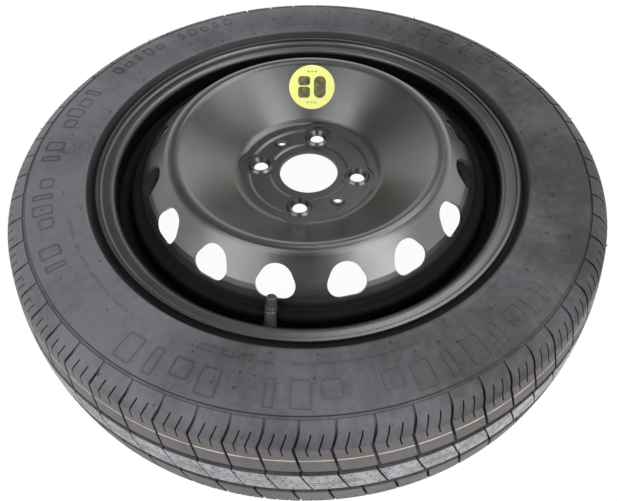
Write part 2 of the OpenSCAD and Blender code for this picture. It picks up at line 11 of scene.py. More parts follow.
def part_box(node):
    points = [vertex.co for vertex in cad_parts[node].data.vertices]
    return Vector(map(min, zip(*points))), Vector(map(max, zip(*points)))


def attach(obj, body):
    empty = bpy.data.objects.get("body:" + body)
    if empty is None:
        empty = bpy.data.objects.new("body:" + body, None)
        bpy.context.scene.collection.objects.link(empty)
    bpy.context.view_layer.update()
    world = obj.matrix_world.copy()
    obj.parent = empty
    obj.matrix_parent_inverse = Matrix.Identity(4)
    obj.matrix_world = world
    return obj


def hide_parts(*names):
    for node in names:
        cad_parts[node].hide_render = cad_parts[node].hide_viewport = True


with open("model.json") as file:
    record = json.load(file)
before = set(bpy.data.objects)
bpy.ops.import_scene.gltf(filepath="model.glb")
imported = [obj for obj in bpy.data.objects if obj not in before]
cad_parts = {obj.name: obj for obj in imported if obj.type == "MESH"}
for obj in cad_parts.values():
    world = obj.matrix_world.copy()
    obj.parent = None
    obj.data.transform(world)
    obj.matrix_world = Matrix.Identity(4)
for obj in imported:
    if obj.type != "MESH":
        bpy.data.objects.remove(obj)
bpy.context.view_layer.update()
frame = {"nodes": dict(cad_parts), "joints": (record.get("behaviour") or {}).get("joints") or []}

bl_info = {
    "name": "Spare wheel",
    "version": (1, 0, 0),
    "blender": (4, 5, 0),
    "location": "3D View > Sidebar > Spare wheel",
    "description": "Dresses the frame of a spare wheel and sets up its studio",
    "category": "Object",
}

MM = 0.001
TINY = 1e-4
tyre_low, tyre_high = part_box("tyre")

# Tyre section in millimetres; heights are measured from the middle plane of the wheel
MID_Z = round(tyre_high.z / MM / 2, 1)
TYRE_R = round((tyre_high.x - tyre_low.x) / MM / 2, 1)
CROWN_R = 240.0
TREAD_HALF = 47.3
SHOULDER_R, SHOULDER_H = 269.5, MID_Z - 3
CHANNEL_W = 2.4
WIDEST_OUT, WIDEST_IN = 258.0, 236.0
GUARD_R = 213.5
LIP_R, LIP_H = 204.5, 58.4
SEAT_R, SEAT_H, TOE_H = 190.2, 50.7, 38.8
BELLY_H = MID_Z - 5.8
CAVITY_R = 280.0
CAVITY_END = 4.0
ARC_STEP = math.radians(15)

# Tread pattern, in millimetres and degrees
BLOCKS = 64
BLOCK_START = 217.58
PITCH_SWING, SWING_WAVES, SWING_START = 0.65, 8, 194.5
PITCH = 360 / BLOCKS
HALF_PITCH = math.radians(PITCH) / 2 * (TYRE_R - 4)
WIDE_AT, WIDE_HALF, WIDE_DEPTH = 16.0, 3.9, 4.6
FLOOR_HALF = 2.0
CENTRE_HALF, CENTRE_DEPTH = 0.6, 3.0
CROSS_HALF, CROSS_DEPTH, CROSS_RAMP = 1.2, 4.0, 15.0
CROSS_SLANT, CREASE_OFFSET, KINK_H = math.radians(12), -4.2, 57.5
RIB_SLANT, RIB_OFFSET, RIB_CUT_HALF = math.radians(20), 5.0, 0.85
SIPE_FROM_CHANNEL = 9.0
PIN_HOLES = 190
TREAD_ROWS = (WIDE_AT + FLOOR_HALF, WIDE_AT + WIDE_HALF, 25, 30, 35, 40, 44)

# Valve, along its axis from the middle of the rim's steel, in millimetres
TUBE_TOP = 34.0
THREAD_FROM, THREAD_TURNS, THREAD_PITCH = 23.6, 12, 0.794
THREAD_R = 3.84
AIR_R, TUBE_R, CORE_R = 1.9, 3.2, 2.53
CAP_TOP, CAP_TOP_R = 36.22, 4.5

# The photograph's frame and the place of the lens axis in it, in pixels
PHOTO_W, PHOTO_H = 617, 501
LENS_AXIS = (322.8, 165.0)
LIP_PLANE_Z = 122.4 * MM


# Looks that a user may change

class TyreLook(bpy.types.PropertyGroup):
    rubber: bpy.props.FloatVectorProperty(
        name="Rubber", description="Colour of the tyre's rubber", subtype="COLOR", size=3,
        default=(0.013, 0.0123, 0.0135), min=0, max=1)
    bloom: bpy.props.FloatVectorProperty(
        name="Bloom", description="Colour of the paler film that new rubber sweats out", subtype="COLOR",
        size=3, default=(0.075, 0.071, 0.079), min=0, max=1)
    stripe: bpy.props.FloatVectorProperty(
        name="Stripe", description="Colour of the thin line sprayed round the tread", subtype="COLOR",
        size=3, default=(0.42, 0.36, 0.28), min=0, max=1)
    # Painted sheen: this pale colour is laid on the middle ribs where their smooth rubber shines.
    film: bpy.props.FloatVectorProperty(
        name="Tread film", description="Colour of the pale film on the middle ribs", subtype="COLOR",
        size=3, default=(0.225, 0.217, 0.228), min=0, max=1)
    stripe_at: bpy.props.FloatProperty(
        name="Stripe place", description="Distance of the stripe from the middle of the tread",
        default=34.5 * MM, min=0.02, max=0.045, unit="LENGTH")
    stripe_width: bpy.props.FloatProperty(
        name="Stripe width", description="Width of the stripe", default=1.3 * MM, min=0, max=0.003,
        unit="LENGTH")
    sipe_width: bpy.props.FloatProperty(
        name="Sipe width", description="Width of the thin cuts in the shoulder blocks",
        default=1.3 * MM, min=0.0003, max=0.0015, unit="LENGTH")
    sipe_depth: bpy.props.FloatProperty(
        name="Sipe depth", description="Depth of the thin cuts", default=3.6 * MM, min=0.001, max=0.004,
        unit="LENGTH")
    channel_depth: bpy.props.FloatProperty(
        name="Channel depth", description="Depth of the shallow channel between blocks and sidewall",
        default=1.1 * MM, min=0.0003, max=0.0015, unit="LENGTH")


class MouldingLook(bpy.types.PropertyGroup):
    relief: bpy.props.FloatProperty(
        name="Relief", description="Height of the moulded outlines over the sidewall",
        default=0.55 * MM, min=0.0002, max=0.001, unit="LENGTH")
    stroke: bpy.props.FloatProperty(
        name="Stroke", description="Width of the moulded outlines", default=0.9 * MM, min=0.0004,
        max=0.002, unit="LENGTH")
    hair_count: bpy.props.IntProperty(
        name="Hairs", description="Number of rubber hairs left by the mould's vents", default=150,
        min=0, max=400)
    hair_length: bpy.props.FloatProperty(
        name="Hair length", description="Length of a rubber hair", default=2.8 * MM, min=0.0005,
        max=0.006, unit="LENGTH")


class WheelLook(bpy.types.PropertyGroup):
    paint: bpy.props.FloatVectorProperty(
        name="Paint", description="Colour of the wheel's paint", subtype="COLOR", size=3,
        default=(0.0055, 0.0052, 0.0056), min=0, max=1)
    roughness: bpy.props.FloatProperty(
        name="Roughness", description="How blurred the reflections in the paint are", default=0.30,
        min=0.05, max=0.8, subtype="FACTOR")
    brass: bpy.props.FloatVectorProperty(
        name="Brass", description="Colour of the valve's brass", subtype="COLOR", size=3,
        default=(0.72, 0.53, 0.25), min=0, max=1)


class LabelLook(bpy.types.PropertyGroup):
    film: bpy.props.FloatVectorProperty(
        name="Film", description="Colour of the round label", subtype="COLOR", size=3,
        default=(0.45, 0.46, 0.14), min=0, max=1)
    print_ink: bpy.props.FloatVectorProperty(
        name="Print", description="Colour of the shapes printed on it", subtype="COLOR", size=3,
        default=(0.024, 0.022, 0.017), min=0, max=1)


class StudioLook(bpy.types.PropertyGroup):
    floor: bpy.props.FloatVectorProperty(
        name="Floor", description="Colour of the floor", subtype="COLOR", size=3,
        default=(0.92, 0.92, 0.93), min=0, max=1)
    left_power: bpy.props.FloatProperty(
        name="Left lamp", description="Power of the soft lamp on the left", default=20, min=0, max=200,
        unit="POWER")
    right_power: bpy.props.FloatProperty(
        name="Right lamp", description="Power of the soft lamp on the right", default=24, min=0,
        max=200, unit="POWER")
    top_power: bpy.props.FloatProperty(
        name="Top lamp", description="Power of the soft lamp overhead", default=9, min=0, max=200,
        unit="POWER")
    distance: bpy.props.FloatProperty(
        name="Distance", description="Distance of the camera from the wheel's middle",
        default=0.6952, min=0.3, max=5, unit="LENGTH")
    elevation: bpy.props.FloatProperty(
        name="Elevation", description="Height of the camera over the floor as an angle",
        default=math.radians(44.291), min=0, max=math.pi / 2, subtype="ANGLE")
    turn: bpy.props.FloatProperty(
        name="Turn", description="Turn of the camera to its left", default=math.radians(-1.153),
        subtype="ANGLE")
    tilt: bpy.props.FloatProperty(
        name="Tilt", description="Tilt of the camera upwards", default=math.radians(-0.601),
        subtype="ANGLE")
    roll: bpy.props.FloatProperty(
        name="Roll", description="Roll of the camera round its view", default=math.radians(1.307),
        subtype="ANGLE")
    focal: bpy.props.FloatProperty(
        name="Focal length", description="Focal length for a sensor 36 mm wide", default=41.2,
        min=10, max=200)


# Small tools for objects and meshes

def only(obj):
    """Makes obj the one selected object, and the active one."""
    bpy.ops.object.select_all(action="DESELECT")
    obj.select_set(True)
    bpy.context.view_layer.objects.active = obj


def start_edit(obj, mode="FACE"):
    """Opens obj in edit mode, with nothing selected."""
    only(obj)
    bpy.ops.object.mode_set(mode="EDIT")
    bpy.ops.mesh.select_mode(type=mode)
    bpy.ops.mesh.select_all(action="DESELECT")


def end_edit():
    bpy.ops.object.mode_set(mode="OBJECT")


def pick(obj, kind, wanted):
    """Selects those faces or edges of the mesh in edit mode for which wanted is true."""
    mesh = bmesh.from_edit_mesh(obj.data)
    bpy.ops.mesh.select_all(action="DESELECT")
    for item in getattr(mesh, kind):
        if wanted(item):
            item.select_set(True)
    mesh.select_flush_mode()
    bmesh.update_edit_mesh(obj.data)


def weld(obj, distance=0.01 * MM):
    """Merges the doubled points of a mesh and turns its faces outwards."""
    start_edit(obj)
    bpy.ops.mesh.select_all(action="SELECT")
    bpy.ops.mesh.remove_doubles(threshold=distance)
    bpy.ops.mesh.normals_make_consistent(inside=False)
    end_edit()


def moved(obj, place):
    """Puts every point of the mesh where place says."""
    for point in obj.data.vertices:
        point.co = place(point.co.copy())
    return obj


def copied(obj):
    """A copy of obj with its own mesh."""
    copy = obj.copy()
    copy.data = obj.data.copy()
    bpy.context.scene.collection.objects.link(copy)
    return copy


def joined(objects, name):
    """Joins the objects into the first one and names it."""
    bpy.ops.object.select_all(action="DESELECT")
    for obj in objects:
        obj.select_set(True)
    bpy.context.view_layer.objects.active = objects[0]
    if len(objects) > 1:
        bpy.ops.object.join()
    objects[0].name = name
    objects[0].data.name = name
    return objects[0]


def ready(obj, material, body, replaced=(), smooth=35):
    """Finishes a piece: shading, material, body and the CAD nodes that it stands for."""
    obj.data.materials.clear()
    obj.data.materials.append(material)
    only(obj)
    bpy.ops.object.shade_smooth_by_angle(angle=math.radians(smooth))
    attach(obj, body)
    if replaced:
        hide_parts(*replaced)
    return obj


def repaint(names, material):
    """Gives CAD nodes a new material."""
    for name in names:
        node = frame["nodes"][name]
        node.data.materials.clear()
        node.data.materials.append(material)


def lathe(name, section, steps):
    """Turns a closed section of (radius, height) points round Z."""
    mesh = bpy.data.meshes.new(name)
    points = [(r, 0, h) for r, h in section]
    mesh.from_pydata(points, [(i, (i + 1) % len(points)) for i in range(len(points))], [])
    body = bpy.data.objects.new(name, mesh)
    bpy.context.scene.collection.objects.link(body)
    start_edit(body, "VERT")
    bpy.ops.mesh.select_all(action="SELECT")
    bpy.ops.mesh.spin(steps=steps, angle=math.tau, center=(0, 0, 0), axis=(0, 0, 1))
    end_edit()
    return body


# Small tools for shaders

class Wiring:
    """Adds nodes to one tree, from left to right, and links them."""

    def __init__(self, tree):
        self.tree = tree

    def add(self, kind, values=None, **settings):
        node = self.tree.nodes.new(kind)
        node.location = (200 * len(self.tree.nodes), 0)
        for name, value in settings.items():
            setattr(node, name, value)
        for socket, value in (values or {}).items():
            self.feed(node.inputs[socket], value)
        return node

    def feed(self, socket, value):
        if isinstance(value, bpy.types.NodeSocket):
            self.tree.links.new(value, socket)
        else:
            socket.default_value = value

    def math(self, operation, *terms, clamp=False):
        node = self.add("ShaderNodeMath", dict(enumerate(terms)), operation=operation, use_clamp=clamp)
        return node.outputs[0]

    def band(self, value, low, high, soft):
        """1 where value lies between low and high, with soft edges."""
        rise = self.math("DIVIDE", self.math("SUBTRACT", value, low), soft, clamp=True)
        fall = self.math("DIVIDE", self.math("SUBTRACT", high, value), soft, clamp=True)
        return self.math("MULTIPLY", rise, fall)

    def mix(self, mask, first, second):
        node = self.add("ShaderNodeMix", data_type="RGBA")
        colours = [s for s in node.inputs if s.type == "RGBA"]
        self.feed(node.inputs[0], mask)
        for socket, value in zip(colours, (first, second)):
            self.feed(socket, value if isinstance(value, bpy.types.NodeSocket) else (*value, 1))
        return next(s for s in node.outputs if s.type == "RGBA")

    def group(self, tree, **values):
        node = self.add("ShaderNodeGroup", node_tree=tree)
        for name, value in values.items():
            self.feed(node.inputs[name.replace("_", " ")], value)
        return node.outputs

    def bump(self, height, strength, distance):
        node = self.add("ShaderNodeBump", {"Height": height, "Strength": strength, "Distance": distance})
        return node.outputs["Normal"]


def shader_group(name, inputs, outputs, build):
    """A node group: inputs are (name, default), outputs are names, and build returns their sockets."""
    if name in bpy.data.node_groups:
        return bpy.data.node_groups[name]
    tree = bpy.data.node_groups.new(name, "ShaderNodeTree")
    for label, default in inputs:
        kind = "NodeSocketVector" if default is None else "NodeSocketFloat"
        socket = tree.interface.new_socket(label, in_out="INPUT", socket_type=kind)
        if default is not None:
            socket.default_value = default
    for label in outputs:
        tree.interface.new_socket(label, in_out="OUTPUT", socket_type="NodeSocketFloat")
    wiring = Wiring(tree)
    taken = wiring.add("NodeGroupInput").outputs
    given = wiring.add("NodeGroupOutput")
    for label, socket in zip(outputs, build(wiring, taken)):
        tree.links.new(socket, given.inputs[label])
    return tree


def mottling():
    """Soft patches: values between Low and High."""
    def build(w, taken):
        noise = w.add("ShaderNodeTexNoise", {
            "Vector": taken["Vector"], "Scale": taken["Scale"], "Detail": 4.0, "Roughness": 0.6})
        spread = w.add("ShaderNodeMapRange", {
            "Value": noise.outputs[0], "From Min": 0.35, "From Max": 0.65,
            "To Min": taken["Low"], "To Max": taken["High"]})
        return [spread.outputs[0]]
    return shader_group(
        "Mottling", [("Vector", None), ("Scale", 10.0), ("Low", 0.0), ("High", 1.0)], ["Value"], build)


def round_axle():
    """The place of a point round the wheel: its angle in radians, its radius and its height."""
    def build(w, taken):
        parts = w.add("ShaderNodeSeparateXYZ", {0: taken["Vector"]}).outputs
        angle = w.math("ARCTAN2", parts["Y"], parts["X"])
        flat = w.add("ShaderNodeCombineXYZ", {"X": parts["X"], "Y": parts["Y"]}).outputs[0]
        radius = w.add("ShaderNodeVectorMath", {0: flat}, operation="LENGTH").outputs["Value"]
        return [angle, radius, parts["Z"]]
    return shader_group("Round the axle", [("Vector", None)], ["Angle", "Radius", "Height"], build)


def grain():
    """Height of a fine grain with a coarser swell in it."""
    def build(w, taken):
        fine = w.add("ShaderNodeTexNoise", {
            "Vector": taken["Vector"], "Scale": taken["Scale"], "Detail": 3.0}).outputs[0]
        wide_scale = w.math("MULTIPLY", taken["Scale"], 0.12)
        wide = w.add("ShaderNodeTexNoise", {
            "Vector": taken["Vector"], "Scale": wide_scale, "Detail": 1.0}).outputs[0]
        return [w.math("ADD", fine, w.math("MULTIPLY", wide, taken["Swell"]))]
    return shader_group("Grain", [("Vector", None), ("Scale", 500.0), ("Swell", 1.0)], ["Height"], build)


def rounded_box():
    """1 inside a box with rounded corners in the X and Y of Vector."""
    def build(w, taken):
        parts = w.add("ShaderNodeSeparateXYZ", {0: taken["Vector"]}).outputs
        over = []
        for axis, middle, half in (("X", "Middle X", "Half X"), ("Y", "Middle Y", "Half Y")):
            away = w.math("ABSOLUTE", w.math("SUBTRACT", parts[axis], taken[middle]))
            edge = w.math("SUBTRACT", taken[half], taken["Corner"])
            over.append(w.math("MAXIMUM", w.math("SUBTRACT", away, edge), 0.0))
        squares = [w.math("MULTIPLY", side, side) for side in over]
        away = w.math("SQRT", w.math("ADD", *squares))
        inside = w.math("SUBTRACT", taken["Corner"], away)
        return [w.math("MULTIPLY_ADD", inside, 4.0, 0.5, clamp=True)]
    return shader_group(
        "Rounded box",
        [("Vector", None), ("Middle X", 0.0), ("Middle Y", 0.0), ("Half X", 1.0), ("Half Y", 1.0),
         ("Corner", 0.5)],
        ["Mask"], build)


def new_material(name, **constants):
    """A material with one Principled shader: the wiring, the shader and the Object coordinates."""
    material = bpy.data.materials.new(name)
    material.use_nodes = True
    wiring = Wiring(material.node_tree)
    shader = material.node_tree.nodes["Principled BSDF"]
    for socket, value in constants.items():
        shader.inputs[socket.replace("_", " ")].default_value = value
    place = wiring.add("ShaderNodeTexCoord").outputs["Object"]
    return material, wiring, shader.inputs, place


# Materials

def pin_holes():
    """1 in the pin holes of the middle ribs, which lie in four uneven rows round the tread."""
    def build(w, taken):
        total = 0.0
        for number, row in enumerate((-9.2, -4.0, 4.0, 9.2)):
            around = w.math("MULTIPLY_ADD", taken["Angle"], PIN_HOLES / math.tau, 0.37 * number)
            cell = w.math("FLOOR", around)
            drift = w.add("ShaderNodeTexWhiteNoise", {"W": w.math("ADD", cell, 50.0 * number)},
                          noise_dimensions="1D").outputs["Value"]
            at = w.math("MULTIPLY_ADD", drift, 0.5, 0.25)
            spacing = math.tau * TYRE_R / PIN_HOLES
            along = w.math("MULTIPLY", w.math("SUBTRACT", w.math("SUBTRACT", around, cell), at), spacing)
            across = w.math("SUBTRACT", w.math("MULTIPLY", taken["Height"], 1 / MM), row)
            gap = w.math("SQRT", w.math("ADD", w.math("MULTIPLY", along, along),
                                        w.math("MULTIPLY", across, across)))
            hole = w.math("MULTIPLY", w.math("SUBTRACT", 1.15, gap), 3.0, clamp=True)
            total = w.math("MAXIMUM", total, hole)
        return [total]
    return shader_group("Pin holes", [("Angle", 0.0), ("Height", 0.0)], ["Mask"], build)


def tyre_rubber():
    """Moulded rubber: a bloom in soft patches, made paler on the left as painted light; painted sheen on
    the middle ribs; a sprayed line; painted shade in the pin holes, along the channel's edges and at the
    bead.
    """
    look = bpy.context.scene.tyre_look
    material, w, shader, place = new_material("tyre rubber", Specular_IOR_Level=0.28)
    angle, radius, height = w.group(round_axle(), Vector=place)
    height = w.math("SUBTRACT", height, MID_Z * MM)
    away = w.math("ABSOLUTE", height)
    patches = w.group(mottling(), Vector=place, Scale=9.0, Low=0.0, High=0.6)[0]
    turned = w.add("ShaderNodeCombineXYZ", {
        "X": w.math("MULTIPLY", angle, 10.0), "Y": w.math("MULTIPLY", radius, 9.0), "Z": height})
    streaks = w.group(mottling(), Vector=turned.outputs[0], Scale=3.0, Low=0.0, High=0.12)[0]
    dust = w.group(mottling(), Vector=place, Scale=160.0, Low=0.0, High=0.2)[0]
    # Painted light: the bloom mask rises towards -X, so the tyre's left side is paler and its right side
    # darker, as if lit from the left.
    across = w.add("ShaderNodeSeparateXYZ", {0: place}).outputs["X"]
    drift = w.math("ADD", w.math("ADD", patches, streaks), w.math("MULTIPLY", across, -1.6))
    bloom = w.math("ADD", drift, dust, clamp=True)
    colour = w.mix(bloom, look.rubber, look.bloom)

    level = w.math("MULTIPLY_ADD", w.math("MULTIPLY", away, away), -0.5 / (CROWN_R * MM),
                   (TYRE_R - 0.5) * MM)
    on_top = w.math("GREATER_THAN", radius, level)

    def on_tread(low, high, soft, strength):
        ring = w.band(away, low * MM, high * MM, soft * MM)
        return w.math("MULTIPLY", w.math("MULTIPLY", ring, on_top), strength)

    # Painted sheen on the middle ribs, in patches; the same patches also wear the sprayed stripe.
    wear_and_sheen_patches = w.group(mottling(), Vector=place, Scale=70.0, Low=0.45, High=1.0)[0]
    colour = w.mix(on_tread(-1, WIDE_AT, 0.3, wear_and_sheen_patches), colour, look.film)
    colour = w.mix(on_tread(WIDE_AT, TREAD_HALF, 1.0, 0.5), colour, (0.078, 0.070, 0.065))
    half = look.stripe_width / MM / 2
    middle = look.stripe_at / MM
    near_side = w.math("GREATER_THAN", height, 0.0)
    colour = w.mix(
        w.math("MULTIPLY", on_tread(middle - half, middle + half, 0.15, wear_and_sheen_patches), near_side),
        colour, look.stripe)
    # Painted shade: the pin holes are not cut, their hollows are painted as dark dots.
    holes = w.group(pin_holes(), Angle=angle, Height=height)[0]
    colour = w.mix(w.math("MULTIPLY", holes, on_top), colour, (0.012, 0.011, 0.012))
    # Painted shade: thin dark lines along both edges of the shallow channel, where its walls are in shade.
    on_side = w.math("GREATER_THAN", away, (SHOULDER_H - 2) * MM)
    for edge in (SHOULDER_R + 0.1, SHOULDER_R - CHANNEL_W - 0.1):
        line = w.band(radius, (edge - 0.35) * MM, (edge + 0.35) * MM, 0.15 * MM)
        colour = w.mix(w.math("MULTIPLY", line, on_side), colour, (0.010, 0.010, 0.011))
    # Painted shade: the rubber from below the rim seat up to the guard rib is made nearly black, in place
    # of the shade in the gap between tyre and rim flange.
    bead = w.band(radius, (SEAT_R - 10) * MM, (GUARD_R - 0.2) * MM, 0.6 * MM)
    colour = w.mix(bead, colour, (0.009, 0.009, 0.010))
    w.feed(shader["Base Color"], colour)
    w.feed(shader["Roughness"], w.group(mottling(), Vector=place, Scale=30.0, Low=0.46, High=0.60)[0])
    relief = w.group(grain(), Vector=place, Scale=700.0, Swell=1.5)[0]
    w.feed(shader["Normal"], w.bump(relief, 0.25, 0.2 * MM))
    return material


def plain_rubber(name, colour, bloom):
    """Rubber without the tread's marks, for what is moulded on the sidewall."""
    material, w, shader, place = new_material(name, Specular_IOR_Level=0.28)
    patches = w.group(mottling(), Vector=place, Scale=9.0, Low=0.0, High=0.7)[0]
    w.feed(shader["Base Color"], w.mix(patches, colour, bloom))
    w.feed(shader["Roughness"], w.group(mottling(), Vector=place, Scale=30.0, Low=0.46, High=0.60)[0])
    relief = w.group(grain(), Vector=place, Scale=700.0, Swell=1.5)[0]
    w.feed(shader["Normal"], w.bump(relief, 0.25, 0.2 * MM))
    return material


def wheel_paint():
    """Black dipped paint with a slight orange peel, a few dust specks and painted shade in the gutter,
    where it is darker and duller.
    """
    look = bpy.context.scene.wheel_look
    material, w, shader, place = new_material("black wheel paint", IOR=1.6)
    specks = w.add("ShaderNodeTexNoise", {"Vector": place, "Scale": 420.0, "Detail": 2.0}).outputs[0]
    dust = w.math("MULTIPLY", w.math("GREATER_THAN", specks, 0.745), 0.25)
    film = w.group(mottling(), Vector=place, Scale=14.0, Low=0.0, High=0.03)[0]
    colour = w.mix(w.math("ADD", dust, film, clamp=True), look.paint, (0.16, 0.15, 0.15))
    radius, height = w.group(round_axle(), Vector=place)[1:]
    # Painted shade: in the rim's deep channel (radius over 158 mm, height under 116 mm) the paint is made
    # nearly black, rougher and less glossy all round the wheel.
    gutter_painted_shade = w.math("MULTIPLY", w.band(radius, 158 * MM, 1.0, 6 * MM),
                       w.band(height, -1.0, 116 * MM, 4 * MM))
    colour = w.mix(w.math("MULTIPLY", gutter_painted_shade, 0.75), colour, (0.001, 0.001, 0.001))
    w.feed(shader["Base Color"], colour)
    gloss = w.group(
        mottling(), Vector=place, Scale=22.0, Low=look.roughness - 0.03, High=look.roughness + 0.04)[0]
    w.feed(shader["Roughness"], w.math("MULTIPLY_ADD", gutter_painted_shade, 0.3, gloss))
    w.feed(shader["Specular IOR Level"], w.math("MULTIPLY_ADD", gutter_painted_shade, -0.71, 0.75))
    peel = w.group(grain(), Vector=place, Scale=260.0, Swell=2.0)[0]
    w.feed(shader["Normal"], w.bump(peel, 0.06, 0.1 * MM))
    return material


def stem_rubber():
    material, w, shader, place = new_material("valve rubber")
    film = w.group(mottling(), Vector=place, Scale=120.0, Low=0.0, High=0.5)[0]
    w.feed(shader["Base Color"], w.mix(film, (0.016, 0.016, 0.017), (0.045, 0.044, 0.046)))
    w.feed(shader["Roughness"], w.group(mottling(), Vector=place, Scale=200.0, Low=0.42, High=0.58)[0])
    w.feed(shader["Normal"], w.bump(w.group(grain(), Vector=place, Scale=1500.0)[0], 0.15, 0.1 * MM))
    return material


def cap_plastic():
    material, w, shader, place = new_material("cap plastic")
    film = w.group(mottling(), Vector=place, Scale=180.0, Low=0.0, High=0.5)[0]
    w.feed(shader["Base Color"], w.mix(film, (0.020, 0.020, 0.021), (0.050, 0.049, 0.050)))
    w.feed(shader["Roughness"], w.group(mottling(), Vector=place, Scale=250.0, Low=0.34, High=0.46)[0])
    w.feed(shader["Normal"], w.bump(w.group(grain(), Vector=place, Scale=2200.0)[0], 0.2, 0.05 * MM))
    return material


def turned_brass():
    look = bpy.context.scene.wheel_look
    material, w, shader, place = new_material("turned brass", Metallic=1.0)
    tarnish = w.group(mottling(), Vector=place, Scale=260.0, Low=0.0, High=0.45)[0]
    w.feed(shader["Base Color"], w.mix(tarnish, look.brass, (0.42, 0.29, 0.13)))
    w.feed(shader["Roughness"], w.group(mottling(), Vector=place, Scale=400.0, Low=0.22, High=0.38)[0])
    w.feed(shader["Normal"], w.bump(w.group(grain(), Vector=place, Scale=3000.0)[0], 0.1, 0.03 * MM))
    return material


def spring_wire():
    material, w, shader, place = new_material("spring wire", Metallic=1.0)
    film = w.group(mottling(), Vector=place, Scale=600.0, Low=0.0, High=0.6)[0]
    w.feed(shader["Base Color"], w.mix(film, (0.62, 0.61, 0.60), (0.40, 0.39, 0.38)))
    w.feed(shader["Roughness"], w.group(mottling(), Vector=place, Scale=900.0, Low=0.2, High=0.35)[0])
    return material


def seal_plastic():
    material, w, shader, place = new_material("seal plastic")
    film = w.group(mottling(), Vector=place, Scale=500.0, Low=0.0, High=0.4)[0]
    w.feed(shader["Base Color"], w.mix(film, (0.82, 0.81, 0.78), (0.66, 0.64, 0.58)))
    w.feed(shader["Roughness"], w.group(mottling(), Vector=place, Scale=800.0, Low=0.35, High=0.5)[0])
    return material


def label_frame():
    """Middle of the label and its turn: X to the right, Y up the dish, Z away from the steel."""
    low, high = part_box("label")
    middle = (low + high) / 2
    angle = math.atan2(middle.y, middle.x)
    slope = math.atan2(high.z - low.z, high.y - low.y)
    right = Vector((math.sin(angle), -math.cos(angle), 0))
    up = Vector((math.cos(angle) * math.cos(slope), math.sin(angle) * math.cos(slope), math.sin(slope)))
    turn = Matrix((right, up, right.cross(up))).transposed()
    return middle, turn.to_euler()


def label_film():
    """Pale film with plain printed shapes: two stacked blocks, a tall bar and small dashes."""
    look = bpy.context.scene.label_look
    material, w, shader, place = new_material("label film", Specular_IOR_Level=0.15)
    middle, turn = label_frame()
    flat = w.add("ShaderNodeMapping", {
        "Vector": place, "Location": middle, "Rotation": turn, "Scale": (MM, MM, MM)},
        vector_type="TEXTURE").outputs[0]
    solid = [(-8.4, 6.6, 6.4, 5.2, 3.4), (-8.4, -6.0, 6.4, 6.2, 3.4), (8.6, 0.0, 6.4, 12.2, 6.2)]
    dashes = [(4.0 * k, side * 17.2, 1.3, 0.9, 0.3) for side in (-1, 1) for k in (-1, 0, 1)]

    def shapes(boxes):
        total = 0.0
        for x, y, half_x, half_y, corner in boxes:
            mask = w.group(rounded_box(), Vector=flat, Middle_X=x, Middle_Y=y, Half_X=half_x,
                           Half_Y=half_y, Corner=corner)[0]
            total = w.math("MAXIMUM", total, mask)
        return total

    small = w.math("MULTIPLY", shapes(dashes), 0.6)
    faded = w.group(mottling(), Vector=place, Scale=180.0, Low=0.82, High=1.0)[0]
    ink = w.math("MULTIPLY", w.math("MAXIMUM", shapes(solid), small), faded)
    w.feed(shader["Base Color"], w.mix(ink, look.film, look.print_ink))
    w.feed(shader["Roughness"], w.group(mottling(), Vector=place, Scale=90.0, Low=0.38, High=0.5)[0])
    w.feed(shader["Normal"], w.bump(w.group(grain(), Vector=place, Scale=500.0)[0], 0.05, 0.05 * MM))
    return material


# Tyre

def crown(height):
    """Radius of the tread at a height, in millimetres."""
    return TYRE_R - height * height / (2 * CROWN_R)


def rounded(corners, hidden):
    """The path through corners (radius, height, bend), with arcs; coarser from the corner hidden on."""
    path = []
    for i, (r, h, bend) in enumerate(corners):
        here = Vector((r, h))
        if not bend:
            path.append(here)
            continue
        way_in = (here - Vector(corners[i - 1][:2])).normalized()
        way_out = (Vector(corners[i + 1][:2]) - here).normalized()
        turn = math.atan2(way_in.x * way_out.y - way_in.y * way_out.x, way_in.dot(way_out))
        start = here - way_in * bend * math.tan(abs(turn) / 2)
        centre = start + Vector((-way_in.y, way_in.x)) * math.copysign(bend, turn)
        steps = max(1, math.ceil(abs(turn) / (ARC_STEP if i < hidden else 2 * ARC_STEP)))
        for k in range(steps + 1):
            path.append(centre + Matrix.Rotation(turn * k / steps, 2) @ (start - centre))
    return path


def tyre_path():
    """Half of the tyre's section, from a wide groove over shoulder, sidewall and bead to the cavity."""
    tread = [(crown(h), h, 0) for h in TREAD_ROWS]
    crease_r = crown(TREAD_HALF)
    channel_h = SHOULDER_H + (MID_Z - SHOULDER_H) * CHANNEL_W / (SHOULDER_R - WIDEST_OUT)
    outside = [
        (crease_r, TREAD_HALF, 1), (crease_r - 4.6, TREAD_HALF + 8.9, 20),
        (SHOULDER_R, SHOULDER_H, 0), (SHOULDER_R - CHANNEL_W, channel_h, 0),
        (WIDEST_OUT, MID_Z, 50), (WIDEST_IN, MID_Z, 50),
        (GUARD_R + 4, MID_Z - 2.6, 3), (GUARD_R + 1, MID_Z - 2.1, 1), (GUARD_R - 1.4, MID_Z - 3.1, 1),
        (LIP_R + 6.2, LIP_H - 0.4, 3), (LIP_R + 3.2, SEAT_H + 1.5, 4), (LIP_R - 3, SEAT_H, 3),
        (SEAT_R, SEAT_H, 4.6), (SEAT_R - 1.05, TOE_H, 0.8),
    ]
    inside = [
        (SEAT_R + 7, TOE_H - 1.3, 5), (SEAT_R + 17, TOE_H + 5.7, 12), (SEAT_R + 27, BELLY_H - 5.7, 12),
        (WIDEST_IN - 3, BELLY_H - 0.6, 20), (SHOULDER_R - 24, BELLY_H, 20),
        (WIDEST_OUT, BELLY_H - 1.4, 12), (SHOULDER_R + 0.5, BELLY_H - 9.7, 12),
        (CAVITY_R - 3.5, BELLY_H - 22, 12), (CAVITY_R - 0.4, WIDE_AT + 2, 0), (CAVITY_R, CAVITY_END, 0),
    ]
    return rounded(tread + outside + inside, len(tread + outside) - 2)


